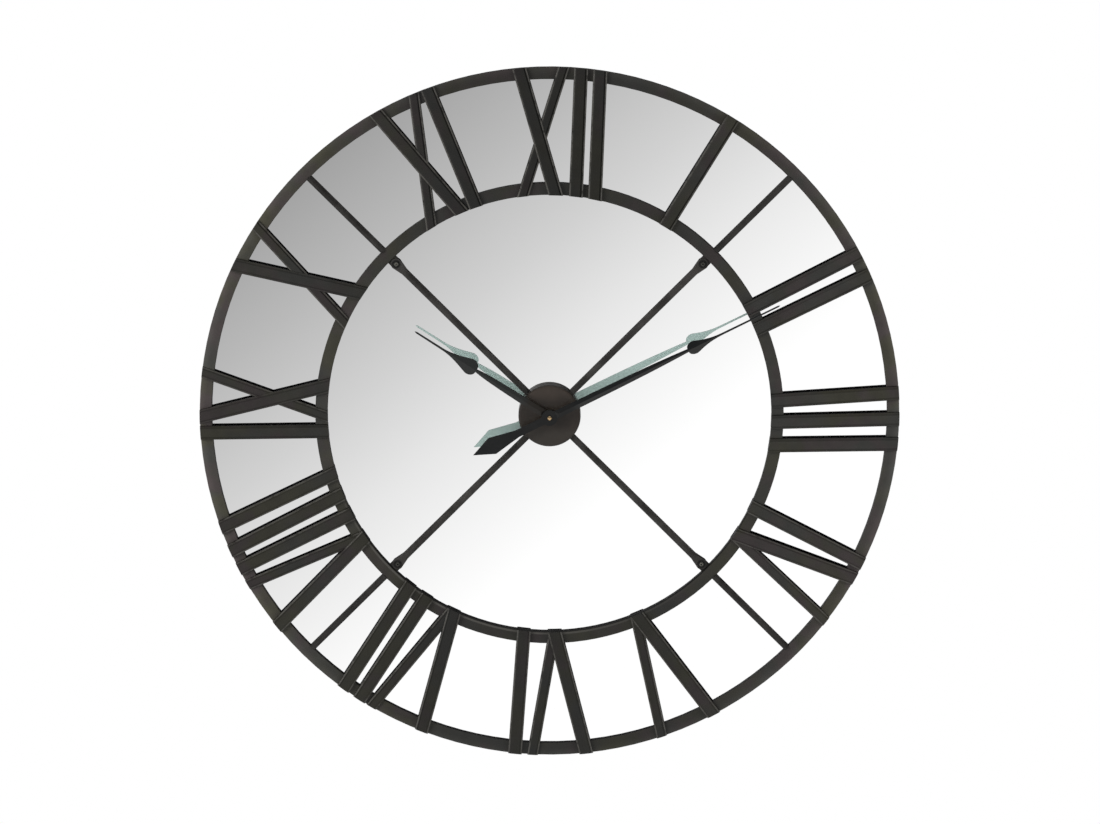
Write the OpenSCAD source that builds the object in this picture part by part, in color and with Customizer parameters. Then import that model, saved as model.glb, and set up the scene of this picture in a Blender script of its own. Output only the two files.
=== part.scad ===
// Wall mirror clock. Two iron rings and folded numeral strokes make a skeleton dial that lies on a
// round mirror. A hub on four spokes stands in front of the mirror and holds a quartz movement.
// Each piece is drawn in the dial frame: x to the right, y up, z from the wall to the viewer.
// upright() turns that frame so that +Z is up and the dial faces -Y. The wall is the plane y = 0.

/* [Dial rings] */
// Outer diameter of the outer ring
dial_d = 920; // [840:10:1100]
// Outer diameter of the inner ring
inner_ring_d = 616; // [520:4:680]
// Width of both rings
ring_w = 16; // [12:1:20]
// Thickness of both rings
ring_t = 6; // [4:0.5:9]
// Diameter of the round rods between the rings
ring_rod_d = 8; // [4:0.5:10]
// Room between the rods and the mirror
rod_room = 0.3; // [0.2:0.1:1]
// Chamfer along the front edges of the rings
edge_chamfer = 0.8; // [0.3:0.1:1.2]
// Room left for the weld at the end of a rod
weld_room = 0.3; // [0.1:0.05:0.5]

/* [Numerals] */
// Width of the broad strokes
bar_w = 18; // [14:0.5:20]
// Height of the broad strokes above the rings
bar_h = 5; // [4:0.25:8]
// Width of the thin legs of V and X
leg_w = 14; // [9:0.5:16]
// Sheet thickness of the folded strokes
bar_wall = 1.4; // [1:0.1:1.8]
// Radius of the rounded shoulders along the strokes
fold_r = 8; // [5:0.5:10]
// Angle that the shoulders turn through, from the face to the side wall
fold_turn = 28; // [20:1:30]
// Room between a thin leg and the broad stroke that bridges it
leg_room = 0.2; // [0.1:0.05:0.5]

/* [Mirror and back] */
// Thickness of the mirror glass
glass_t = 3; // [2:0.5:6]
// Thickness of the backing board
board_t = 8; // [8:0.5:15]
// Thickness of the rim band around mirror and board
rim_t = 2; // [1:0.5:3]
// How far the outer ring stands out past the rim band
rim_overhang = 7; // [4:0.5:7]
// Radial room around the mirror inside the rim band
mirror_room = 1; // [0.5:0.1:1]
// Radial room around the board inside the rim band
board_room = 0.5; // [0.2:0.1:1]
// Number of screws that hold the rim band to the board
rim_screws = 8; // [4:1:12]
// Diameter of the rim screws
rim_screw_d = 3; // [2:0.5:4]
// Length of a rim screw inside the board
rim_screw_l = 16; // [10:1:25]

/* [Wall hanger] */
// Distance from the top of the dial down to the middle of the keyhole's entry
hanger_drop = 110; // [90:5:200]
// Diameter of the keyhole's entry
key_d = 10; // [8:0.5:12]
// Width of the keyhole's slot
key_slot_w = 5; // [3.5:0.5:6]
// Length of the slot, from the entry's middle to the slot's end
key_slot_l = 12; // [8:1:18]
// Thickness of the hanger plate, let in flush with the board
hanger_t = 2; // [1:0.25:2.5]
// Depth behind the hanger plate for the head of the wall screw
pocket_depth = 5; // [4.5:0.25:5]
// Margin of the pocket around the keyhole's entry and slot
pocket_margin = 2; // [1.5:0.25:3]
// Margin of the hanger plate around the pocket
hanger_margin = 11; // [9:1:16]
// Diameter of the hanger screws
hanger_screw_d = 3; // [2:0.5:4]
// Board left in front of the tip of a hanger screw
hanger_screw_rest = 1.5; // [1:0.25:3]

/* [Hub and spokes] */
// Diameter of the spokes at the hub
spoke_d = 7.5; // [6:0.5:9]
// Diameter of the spokes where they flatten into their eyes
spoke_end_d = 8.5; // [6:0.5:10]
// Room between the spokes and the mirror
spoke_room = 0.75; // [0.5:0.25:3]
// Width of the flattened eye at the outer end of a spoke
eye_w = 14; // [11:0.5:18]
// Thickness of the flattened eye
eye_t = 2.5; // [1.5:0.25:3.5]
// Room between an eye and the inner ring
eye_room = 1.25; // [0.5:0.25:3]
// Length over which a spoke flattens and widens into its eye
eye_neck_l = 8; // [5:1:16]
// Room between a ring lug and the mirror
lug_room = 0.5; // [0.2:0.1:1]
// How far the edge of a ring lug stays inside the edge of the eye
lug_step = 0.25; // [0.1:0.05:1]
// Diameter of the eye screws
eye_screw_d = 4; // [3:0.5:5]
// Sheet thickness of the hub cup
hub_wall = 1.5; // [1:0.25:2.5]
// Outer radius of the rounded front edge of the hub
hub_edge_r = 3; // [2:0.5:4]
// Room between the hub cup and the mirror
hub_room = 0.3; // [0.2:0.1:1]
// Room between the corners of the movement and the wall of the hub
movement_room = 1.5; // [1.2:0.1:5]
// How far a spoke reaches past the wall of the hub
spoke_inset = 0.8; // [0.4:0.1:1]

/* [Movement case] */
// Length of the AA cell over its contacts
battery_l = 50.5; // [48:0.5:58]
// Diameter of the AA cell
battery_d = 14.5; // [13.5:0.5:17]
// Diameter of the raised end of the cell
nub_d = 5.5; // [4:0.25:7]
// Length of the raised end of the cell
nub_l = 1.3; // [1:0.1:2]
// Room for a contact at each end of the cell
contact_room = 1.55; // [1.2:0.05:3]
// Width of the contact leaves
contact_w = 10; // [8:0.5:11]
// Sheet thickness of the contacts
contact_t = 0.4; // [0.2:0.1:0.6]
// Wall thickness of the case
case_wall = 1.2; // [1:0.1:2]
// Radius of the corners of the case
case_corner_r = 4; // [3:0.5:6]
// How far the cell lies inside the open rear of its bay
bay_inset = 0.3; // [0.2:0.1:1]
// Room around the cell in its bay
bay_room = 0.5; // [0.2:0.1:1]
// Room between the movement and the board, in the opening of the mirror
case_rest = 0.2; // [0.1:0.1:0.5]
// Room around the corners of the movement in the opening of the mirror
opening_room = 1; // [0.5:0.1:1]
// Diameter of the threaded bushing
thread_d = 8; // [7.5:0.5:10]
// Width across the flats of the hex nut
nut_af = 11; // [11:0.5:16]
// Thickness of the hex nut
nut_t = 3; // [2:0.5:5]
// Diameter of the washer under the nut
washer_d = 16; // [15:1:24]
// Thickness of the washer
washer_t = 0.8; // [0.5:0.1:2]
// Length of thread past the nut
thread_spare = 1.2; // [0.5:0.1:4]

/* [Motion works] */
// Gear module of the driving train
train_module = 0.3; // [0.25:0.01:0.34]
// Gear module of the motion works
motion_module = 0.4; // [0.38:0.01:0.45]
// Thickness of the wheels
wheel_t = 1; // [0.6:0.1:1.2]
// Free height between one wheel and the next
wheel_gap = 0.6; // [0.4:0.1:0.8]
// Extra height of a pinion past its wheel, each side
pinion_extra = 0.2; // [0.1:0.05:0.2]
// Diameter of the minute arbor
arbor_d = 3; // [2.4:0.1:3.2]
// Outer diameter of the hour tube
hour_tube_d = 5; // [4.6:0.1:6]
// Diameter of the small arbors and studs
stud_d = 1.2; // [0.8:0.1:1.2]
// Diameter of the setting shaft
set_shaft_d = 3; // [2:0.25:3.5]
// Diameter of the setting knob
knob_d = 13; // [9:0.5:16]
// Thickness of the setting knob
knob_t = 2.6; // [2:0.2:3.5]
// Room around the setting knob in its recess in the board
knob_room = 1; // [0.5:0.5:3]
// Radial play of every turning piece on its bearing
running_play = 0.05; // [0.02:0.01:0.1]
// Play of fixed pieces that are pushed together
seat_play = 0.05; // [0.02:0.01:0.1]
// Room at the ends of the arbors
end_play = 0.3; // [0.2:0.1:0.6]

/* [Hands] */
// Direction of the minute hand, clockwise from twelve
minute_angle = 63.6; // [0:0.1:360]
// Direction of the hour hand, clockwise from twelve
hour_angle = 303; // [0:0.1:360]
// Sheet thickness of the hands
hand_t = 1; // [0.6:0.1:1.5]
// Diameter of the round boss of both hands
boss_d = 21; // [18:1:30]
// Height of the ridge that is pressed along both blades
ridge_h = 1.2; // [0.6:0.1:1.6]
// Length over which the ridge rises from the boss
ridge_rise = 3; // [2:0.5:5]
// Length of the sleeve behind each hand
sleeve_l = 2; // [1.5:0.5:4]
// Wall thickness of the sleeves
sleeve_wall = 1; // [0.6:0.1:2]
// Free height between the two hands
hand_gap = 3.5; // [3:0.5:8]
// Room between the bushing and the hour hand's sleeve
hand_room = 1; // [0.4:0.1:3]
// Reach of the minute hand
minute_l = 336; // [300:2:360]
// Width of the minute hand's shank
minute_shank_w = 10.8; // [9:0.2:14]
// Reach to which the minute hand's bowed edges hold their width
minute_shank_l = 130; // [40:1:150]
// Width of the minute hand's neck
minute_neck_w = 4.4; // [3:0.2:6]
// Reach of the minute hand's neck, where its spade begins
minute_neck_l = 202; // [160:2:220]
// Greatest width of the minute hand's spade
minute_spade_w = 17.4; // [14:0.2:24]
// Length of the minute hand's spade
minute_spade_l = 51; // [40:1:70]
// Width of the minute hand's tip
minute_tip_w = 2.6; // [1.6:0.2:4]
// Reach of the minute hand's tail
tail_l = 112; // [96:2:140]
// Width of the tail's stem
tail_stem_w = 10; // [6:0.5:16]
// Reach of the tail's stem
tail_stem_l = 47; // [20:1:60]
// Greatest width of the tail
tail_w = 23.5; // [18:0.5:30]
// Reach of the tail's widest place
tail_belly_l = 84; // [66:1:92]
// Reach of the hour hand
hour_l = 210; // [190:2:260]
// Width of the hour hand's shank
hour_shank_w = 10.4; // [8:0.2:14]
// Reach to which the hour hand's bowed edges hold their width
hour_shank_l = 90; // [40:1:110]
// Width of the hour hand's neck
hour_neck_w = 4.4; // [3:0.2:6]
// Reach of the hour hand's neck, where its spade begins
hour_neck_l = 114; // [90:1:124]
// Greatest width of the hour hand's spade
hour_spade_w = 21.4; // [16:0.2:28]
// Length of the hour hand's spade
hour_spade_l = 53; // [40:1:60]
// Width of the hour hand's tip
hour_tip_w = 2.8; // [1.6:0.2:4]
// Diameter of the cap nut
cap_d = 5; // [5:0.5:9]
// Height of the cap nut
cap_h = 3.6; // [3:0.2:6]
// Height of the cap nut's dome
cap_dome_h = 1.2; // [0.6:0.1:1.6]

/* [Hidden] */
$fn = 96;
// Small overlap that lets a cut break clean through a face
bite = 0.5;
// Thin start of a blended shape
slice = 0.1;
// Round screw heads: diameter, height and slot width in diameters of the screw
head_d_share = 2;
head_h_share = 0.6;
head_slot_share = 0.2;

// Strokes of each numeral. A pair tells where the middle of the stroke crosses the outer and the
// inner ring, in widths of the broad stroke, clockwise from the hour mark. Hour 12 stands first.
broad_strokes = [
    [[-1.95, 0.2], [2.25, 1.95], [3.65, 3.35]],
    [[0.55, 0.35]],
    [[0.85, 0.5], [2.6, 2.1]],
    [[-1.6, -1.1], [0.3, 0.5], [2.15, 2.25]],
    [[-1.85, -1.5], [-0.5, 0.75]],
    [[0.85, 1.8]],
    [[-2.5, -0.6], [2.5, 1.95]],
    [[-3.45, -1.5], [1.45, 1.05], [2.9, 2.55]],
    [[-3.45, -1.35], [1.4, 0.95], [2.9, 2.55], [4.75, 4.2]],
    [[-1.3, -1.2], [0.1, 2]],
    [[-1.6, 0.75]],
    [[0.4, 1.8], [4.25, 3.2]]
];
// The one thin leg of each numeral that has a V or an X, laid out the same way
thin_legs = [
    [0.75, -1.65], [], [], [], [3, 1.2], [4.65, 2.3], [1.1, -0.2], [0.3, -0.95], [0, -0.9],
    [2.9, 0.2], [1.2, -1.25], [2.95, -0.15]
];

// Radii of the dial, from the wall band inwards
dial_r = dial_d / 2;
outer_ring_in = dial_r - ring_w;
inner_ring_r = inner_ring_d / 2;
inner_ring_in = inner_ring_r - ring_w;
rim_r = dial_r - rim_overhang;
rim_in = rim_r - rim_t;

// Heights above the wall
glass_z = board_t;
glass_top = glass_z + glass_t;
ring_top = glass_top + ring_t;
leg_h = bar_h - bar_wall - leg_room;
// Length of a stroke inwards and outwards from the inner ring, before it is trimmed
stroke_in = 3 * ring_w;
stroke_out = dial_r - inner_ring_r + 3 * ring_w;
// Width, drop and flat steps of a shoulder
fold_w = fold_r * sin(fold_turn);
fold_drop = fold_r * (1 - cos(fold_turn));
fold_steps = 4;
ring_rod_z = glass_top + rod_room + ring_rod_d / 2;
spoke_z = glass_top + spoke_room + max(spoke_d, spoke_end_d) / 2;
eye_bottom = spoke_z - eye_t / 2;
eye_top = spoke_z + eye_t / 2;
lug_bottom = glass_top + lug_room;

// Spokes lie halfway between the quarter hours
spoke_angles = [45, 135, 225, 315];
eye_r = inner_ring_in - eye_room - eye_w / 2;
eye_head_r = head_d_share * eye_screw_d / 2;
eye_head_h = head_h_share * eye_screw_d;
eye_slot_w = head_slot_share * eye_screw_d;
neck_from = eye_r - eye_w / 2 - eye_neck_l;
lug_w = eye_w - 2 * lug_step;

// Hanger plate, its pocket and its screws
hanger_y = dial_r - hanger_drop;
pocket_w = key_d + 2 * pocket_margin;
hanger_screw_l = board_t - hanger_screw_rest;

// Teeth of the wheels
center_teeth = 60;
output_teeth = 8;
cannon_teeth = 10;
motion_teeth = 30;
motion_pinion_teeth = 8;
hour_teeth = 32;
set_teeth = 15;
// Tooth outline: tip and root heights in modules, tip and root widths in tooth pitches
tooth_tip = 0.85;
tooth_root = 1.25;
tip_share = 0.2;
root_share = 0.52;
center_tip_r = train_module * (center_teeth / 2 + tooth_tip);

// Case outline: the cell sets the width, cell bay and center wheel set the height below the arbor
bay_h = battery_d + 2 * bay_room;
wheel_room = 0.8;
case_w = battery_l + 2 * contact_room + 2 * case_wall;
bay_top = -center_tip_r - wheel_room - case_wall;
bay_bottom = bay_top - bay_h;
case_half_h = -bay_bottom + case_wall;
case_t = battery_d + bay_room + bay_inset + case_wall;
case_back = glass_z + case_rest;
case_front = case_back + case_t;
room_front = case_front - case_wall;
cover_front = case_back + case_wall;
case_corner = norm([case_w / 2 - case_corner_r, case_half_h - case_corner_r]) + case_corner_r;
opening_r = case_corner + opening_room;
battery_y = (bay_top + bay_bottom) / 2;
battery_z = room_front - bay_room / 2 - battery_d / 2;

// Hub cup around the movement
hub_in = case_corner + movement_room;
hub_r = hub_in + hub_wall;
hub_back = glass_top + hub_room;
hub_front = case_front + hub_wall;
spoke_tip_r = hub_in - spoke_inset;

// Stack of wheels, from the front wall of the case backwards
flange_t = 0.5;
flange_d = thread_d + 3;
hour_wheel_front = room_front - flange_t - end_play;
hour_wheel_back = hour_wheel_front - wheel_t;
motion_wheel_front = hour_wheel_back - wheel_gap - pinion_extra;
motion_wheel_back = motion_wheel_front - wheel_t;
center_wheel_front = motion_wheel_back - 2 * wheel_gap - pinion_extra;
center_wheel_back = center_wheel_front - wheel_t;
motor_front = center_wheel_back - 2 * wheel_gap;

// Directions from one axis to the next, counter-clockwise from the x axis
output_dir = 150;
motion_dir = 60;
set_dir = 30;
output_at = axis_at([0, 0], output_dir, train_module, center_teeth, output_teeth);
motion_at = axis_at([0, 0], motion_dir, motion_module, cannon_teeth, motion_teeth);
set_at = axis_at(motion_at, set_dir, motion_module, motion_teeth, set_teeth);

// Turn of each wheel that brings its teeth into the gaps of its neighbour
output_phase = mesh_phase(output_dir, center_teeth, output_dir, output_teeth);
motion_phase = mesh_phase(motion_dir, cannon_teeth, motion_dir, motion_teeth);
hour_phase = mesh_phase(motion_dir + 180, motion_pinion_teeth, motion_dir + 180, hour_teeth);
set_phase = mesh_phase(set_dir, motion_teeth, motion_phase, set_teeth);

// Bearings inside the case
boss_wall = 1.2;
pivot_l = 1.2;
arbor_pivot_d = 0.7 * arbor_d;

// Stack in front of the hub
washer_top = hub_front + washer_t;
nut_top = washer_top + nut_t;
bushing_top = nut_top + thread_spare;
hour_hand_back = bushing_top + hand_room + sleeve_l;
hour_hand_front = hour_hand_back + hand_t;
minute_hand_back = hour_hand_front + hand_gap;
minute_hand_front = minute_hand_back + hand_t;
cap_top = minute_hand_front + cap_h;
arbor_tip = minute_hand_front + cap_h / 2;

// Circuit board, between the arbor and the right wall of the wheel room
inner_room = 1;
arbor_clear = 6;
pcb_t = 1;
pcb_from = [arbor_clear, bay_top + case_wall + inner_room];
pcb_to = [case_w / 2 - case_wall - inner_room, arbor_clear];
chip_d = 5;
chip_h = 1;
can_d = 2;
can_l = 6;
can_at = [pcb_from.x + can_d, pcb_to.y - 1.5 * can_d];

// Stepping motor, left of the arbor: a coil on the lower bar of a yoke and a sealed block above it
motor_y = 2;
motor_from = [-case_w / 2 + case_wall + inner_room, motor_y];
motor_to = [-arbor_clear, case_half_h - case_wall - inner_room];
motor_corner_r = 2;
coil_bay = motor_y - bay_top - case_wall;
coil_y = motor_y - coil_bay / 2;
coil_r = min(3, coil_bay / 2 - inner_room);
coil_seat = 0.2;
coil_z = cover_front + coil_r + coil_seat;
coil_inset = 4;
coil_from = motor_from.x + coil_inset;
coil_to = motor_to.x - coil_inset;
flange_step = 0.4;
coil_flange_t = 1;
yoke_t = 1;
yoke_half = 1.2;

// Step on the minute arbor between the center wheel and the cannon pinion
arbor_step = 0.3;
// Setting knob behind the cover of the movement
knob_top = case_back - end_play;
knob_back = knob_top - knob_t;
// Grooves around the setting knob
grip_count = 18;
grip_r = 0.5;

// Hand blades: [shank width, shank reach, neck width, neck reach, spade width, spade length,
// place of the narrowing as a share of the spade's taper, tip width, reach]
minute_blade = [minute_shank_w, minute_shank_l, minute_neck_w, minute_neck_l, minute_spade_w,
    minute_spade_l, 0.38, minute_tip_w, minute_l];
hour_blade = [hour_shank_w, hour_shank_l, hour_neck_w, hour_neck_l, hour_spade_w,
    hour_spade_l, 0.55, hour_tip_w, hour_l];
minute_tail = [[tail_stem_w / 2, 0], [tail_stem_w / 2, -tail_stem_l], [tail_w / 2, -tail_belly_l],
    [0, -tail_l]];
curve_steps = 10;
spade_belly = 0.19;
belly_flat = 0.5;
tip_taper = 0.8;
tip_end_w = 0.5;
// The blades start a little inside the edge of the boss
blade_seat = 0.8;
blade_root = boss_d / 2 - blade_seat;
// Half size of the blocks that cut the ridged sheet, larger than any hand
sheet_reach = 2 * minute_l;

numeral_hours = [for (h = [1:12]) h];
leg_hours = [for (h = numeral_hours) if (len(thin_legs[h % 12]) > 0) h];
quarters = [1, 2, 3, 4];

// Colours of the finishes
iron = "#3a3631";
hub_iron = "#3c332d";
hand_black = "#17181a";
silver = "#cfd6d6";
board_brown = "#4a3526";
zinc = "#a8a9a4";
brass = "#c9a25a";
case_plastic = "#1c1c1e";
wheel_plastic = "#e8e4d8";
cell_green = "#2f4f3a";
pcb_green = "#2d5a3c";
copper = "#9a5a2c";

// Point at a radius and a clock direction, in degrees clockwise from twelve
function clock(r, a) = [r * sin(a), r * cos(a)];
// Axis of a wheel that meshes with the wheel at a
function axis_at(a, dir, m, n_a, n_b) = a + m * (n_a + n_b) / 2 * [cos(dir), sin(dir)];
// Turn of wheel b that puts its gaps over the teeth of wheel a, seen along dir from a to b
function mesh_phase(dir, n_a, phase_a, n_b) = dir + 180 - n_a / n_b * (phase_a - dir) + 180 / n_b;
// Point on a cubic curve
function curve(p, t) = pow(1 - t, 3) * p[0] + 3 * t * pow(1 - t, 2) * p[1]
    + 3 * t * t * (1 - t) * p[2] + t * t * t * p[3];
function curve_points(p) = [for (i = [0:curve_steps]) curve(p, i / curve_steps)];
// The same points on the other side of the y axis, in reverse order
function mirrored(p) = [for (i = [len(p) - 1:-1:0]) [-p[i].x, p[i].y]];
// Outline of a gear wheel, four points for each tooth
function gear_outline(n, m) = let (
        tip_r = m * (n / 2 + tooth_tip),
        root_r = m * (n / 2 - tooth_root),
        pitch = 360 / n,
        flank = [[root_r, -root_share / 2], [tip_r, -tip_share / 2],
            [tip_r, tip_share / 2], [root_r, root_share / 2]]
    ) [for (i = [0:n - 1], f = flank) f[0] * [cos(pitch * (i + f[1])), sin(pitch * (i + f[1]))]];
// Shoulder below a corner, from the side wall to the face
function shoulder_points(corner) = [for (i = [fold_steps:-1:0]) let (a = fold_turn * i / fold_steps)
    corner + [fold_r * sin(a) - fold_w, fold_r * cos(a) - fold_r]];
// Right side of a blade that points up: bowed shank, spade and fine tip
function blade_side(b) = let (
        shank_w = b[0], shank_l = b[1], neck_w = b[2], neck_l = b[3], spade_w = b[4], spade_l = b[5],
        waist = b[6], tip_w = b[7], reach = b[8],
        belly = neck_l + spade_belly * spade_l,
        taper_end = neck_l + spade_l,
        taper = taper_end - belly
    ) concat(
        curve_points([[shank_w / 2, blade_root], [shank_w / 2, shank_l],
            [(shank_w + neck_w) / 4, (shank_l + neck_l) / 2], [neck_w / 2, neck_l]]),
        curve_points([[neck_w / 2, neck_l + belly_flat], [spade_w / 3, neck_l],
            [spade_w / 2, (neck_l + belly) / 2], [spade_w / 2, belly]]),
        curve_points([[spade_w / 2, belly + belly_flat], [spade_w / 2, belly + taper / 10],
            [tip_w / 2, belly + waist * taper], [tip_w / 2, taper_end]]),
        [[tip_taper * tip_w / 2, reach - tip_w], [tip_end_w / 2, reach]]
    );

module upright() {
    rotate([90, 0, 0]) children();
}

// Disc or tube between two heights
module disc(r, from, to) {
    translate([0, 0, from]) cylinder(r = r, h = to - from);
}

module tube(r, hole_r, from, to) {
    difference() {
        disc(r, from, to);
        disc(hole_r, from - bite, to + bite);
    }
}

// Box between two corners
module block(from, to) {
    translate(from) cube(to - from);
}

// Prism of a square with round corners
module rounded_block(from, to, r) {
    translate([0, 0, from.z]) linear_extrude(to.z - from.z) union() {
        translate([from.x + r, from.y]) square([to.x - from.x - 2 * r, to.y - from.y]);
        translate([from.x, from.y + r]) square([to.x - from.x, to.y - from.y - 2 * r]);
        for (x = [from.x + r, to.x - r], y = [from.y + r, to.y - r]) translate([x, y]) circle(r);
    }
}

// Rod along the y axis between two radii
module radial_rod(r, from, to) {
    translate([0, from, 0]) rotate([-90, 0, 0]) cylinder(r = r, h = to - from);
}

// Turns a piece drawn towards twelve to a clock direction
module to_clock(a) {
    rotate([0, 0, -a]) children();
}

module gear(n, m, from, to, phase) {
    translate([0, 0, from]) rotate([0, 0, phase]) linear_extrude(to - from) polygon(gear_outline(n, m));
}

// Flat ring with chamfered front edges
module flat_ring(outer_r) {
    inner_r = outer_r - ring_w;
    c = edge_chamfer;
    rotate_extrude() polygon([
        [inner_r, glass_top], [outer_r, glass_top], [outer_r, ring_top - c],
        [outer_r - c, ring_top], [inner_r + c, ring_top], [inner_r, ring_top - c]
    ]);
}

module outer_ring() {
    color(iron) upright() flat_ring(dial_r);
}

// The inner ring carries four lugs behind the eyes of the spokes
module inner_ring() {
    color(iron) upright() union() {
        flat_ring(inner_ring_r);
        for (a = spoke_angles) to_clock(a) difference() {
            union() {
                translate([0, eye_r, 0]) disc(lug_w / 2, lug_bottom, eye_bottom);
                block([-lug_w / 2, eye_r, lug_bottom],
                    [lug_w / 2, inner_ring_in + ring_w / 2, eye_bottom]);
            }
            translate([0, eye_r, 0])
                disc(eye_screw_d / 2 + seat_play, lug_bottom - bite, eye_bottom + bite);
        }
    }
}

module ring_rod(q) {
    color(iron) upright() intersection() {
        to_clock(spoke_angles[q - 1]) translate([0, 0, ring_rod_z])
            radial_rod(ring_rod_d / 2, inner_ring_in, dial_r);
        tube(outer_ring_in - weld_room, inner_ring_r + weld_room, glass_z, ring_top + ring_rod_d);
    }
}

// Places a stroke that is drawn along the y axis, from ring to ring
module on_stroke(h, crossing) {
    arc = 180 / PI * bar_w;
    p = clock(outer_ring_in, 30 * h + arc * crossing[0] / outer_ring_in);
    q = clock(inner_ring_r, 30 * h + arc * crossing[1] / inner_ring_r);
    translate([q.x, q.y, ring_top]) to_clock(atan2(p.x - q.x, p.y - q.y)) children();
}

// Keeps a stroke between the inner edge of the inner ring and the outer edge of the outer ring
module trimmed_to_rings() {
    intersection() {
        children();
        tube(dial_r, inner_ring_in, ring_top - bite, ring_top + bar_h + bite);
    }
}

module stroke_prism() {
    translate([0, stroke_out, 0]) rotate([90, 0, 0]) linear_extrude(stroke_in + stroke_out) children();
}

// Folded strip: a flat face, two rounded shoulders and two side walls that stand on the rings
module folded_strip(w, h) {
    outside = concat([[w / 2, 0]], shoulder_points([w / 2, h]));
    inside = [[w / 2 - fold_w, h - bar_wall], [w / 2 - bar_wall, h - bar_wall - fold_drop / 2],
        [w / 2 - bar_wall, 0]];
    stroke_prism() polygon(concat(outside, mirrored(outside), mirrored(inside), inside));
}

// Passage of a thin leg through the side walls of a broad stroke
module leg_passage() {
    passage_w = leg_w + 2 * leg_room;
    stroke_prism() translate([-passage_w / 2, -bite]) square([passage_w, leg_h + leg_room / 2 + bite]);
}

// Broad strokes of one numeral, notched where a thin leg runs under them
module numeral(h) {
    color(iron) upright() trimmed_to_rings() difference() {
        for (s = broad_strokes[h % 12]) on_stroke(h, s) folded_strip(bar_w, bar_h);
        if (len(thin_legs[h % 12]) > 0) on_stroke(h, thin_legs[h % 12]) leg_passage();
    }
}

module thin_leg(h) {
    color(iron) upright() trimmed_to_rings() on_stroke(h, thin_legs[h % 12]) folded_strip(leg_w, leg_h);
}

module mirror_glass() {
    color(silver) upright() tube(rim_in - mirror_room, opening_r, glass_z, glass_top);
}

module rim_band() {
    color(iron) upright() difference() {
        tube(rim_r, rim_in, 0, glass_top);
        at_rim_screws() radial_rod(rim_screw_d / 2 + 2 * seat_play, rim_in - bite, rim_r + bite);
    }
}

module at_rim_screws() {
    for (i = [0:rim_screws - 1]) to_clock((i + 0.5) * 360 / rim_screws)
        translate([0, 0, board_t / 2]) children();
}

module board_screws() {
    head_h = head_h_share * rim_screw_d;
    color(zinc) upright() at_rim_screws() union() {
        radial_rod(rim_screw_d / 2, rim_in - rim_screw_l, rim_r + head_h / 2);
        radial_rod(head_d_share * rim_screw_d / 2, rim_r, rim_r + head_h);
    }
}

// Backing board with a recess for the setting knob in front and, behind, a shallow seat for the hanger
// plate and a pocket for the head of the wall screw
module back_board() {
    board_r = rim_in - board_room;
    color(board_brown) upright() difference() {
        disc(board_r, 0, board_t);
        translate(set_at) disc(knob_d / 2 + knob_room, knob_back - end_play, board_t + bite);
        at_rim_screws() radial_rod(rim_screw_d / 2 + seat_play, rim_in - rim_screw_l - bite, rim_r);
        hanger_outline(hanger_margin + seat_play, -bite, hanger_t);
        hanger_outline(0, -bite, hanger_t + pocket_depth);
        at_hanger_screws() disc(hanger_screw_d / 2 + seat_play, 0, hanger_screw_l + bite);
    }
}

// Rectangle around the keyhole, grown by a margin
module hanger_outline(margin, from, to) {
    block([-pocket_w / 2 - margin, hanger_y - pocket_w / 2 - margin, from],
        [pocket_w / 2 + margin, hanger_y + key_slot_l + pocket_w / 2 + margin, to]);
}

module at_hanger_screws() {
    x = pocket_w / 2 + hanger_margin / 2;
    y = pocket_w / 2 + hanger_margin / 2;
    for (side = [-x, x], up = [-y, key_slot_l + y]) translate([side, hanger_y + up, 0]) children();
}

// Countersunk head, widest on the face that lies on the wall
module countersunk_head(play) {
    cylinder(r1 = hanger_screw_d + play, r2 = hanger_screw_d / 2 + play, h = hanger_screw_d / 2);
}

module hanger_plate() {
    color(zinc) upright() difference() {
        hanger_outline(hanger_margin, 0, hanger_t);
        translate([0, hanger_y, 0]) disc(key_d / 2, -bite, hanger_t + bite);
        block([-key_slot_w / 2, hanger_y, -bite], [key_slot_w / 2, hanger_y + key_slot_l, hanger_t + bite]);
        translate([0, hanger_y + key_slot_l, 0]) disc(key_slot_w / 2, -bite, hanger_t + bite);
        at_hanger_screws() union() {
            disc(hanger_screw_d / 2 + 2 * seat_play, -bite, hanger_t + bite);
            countersunk_head(2 * seat_play);
        }
    }
}

module hanger_screws() {
    color(zinc) upright() at_hanger_screws() union() {
        disc(hanger_screw_d / 2, 0, hanger_screw_l);
        countersunk_head(0);
    }
}

// Side view of the flattened end of a spoke, as a prism across the spoke
module flattened_end() {
    top = [[neck_from - 2 * bite, spoke_end_d / 2], [neck_from, spoke_end_d / 2],
        [eye_r - eye_w / 2, eye_t / 2 - slice], [eye_r + eye_w, eye_t / 2 - slice]];
    bottom = [for (i = [3:-1:0]) [top[i].x, -top[i].y]];
    translate([-eye_w, 0, spoke_z]) rotate([90, 0, 90]) linear_extrude(2 * eye_w)
        polygon(concat(top, bottom));
}

// Round bar of a spoke, thicker towards its eye
module spoke_bar() {
    rotate([-90, 0, 0]) rotate_extrude() polygon([[0, spoke_tip_r], [spoke_d / 2, spoke_tip_r],
        [spoke_d / 2, hub_r], [spoke_end_d / 2, neck_from], [0, neck_from]]);
}

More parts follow.
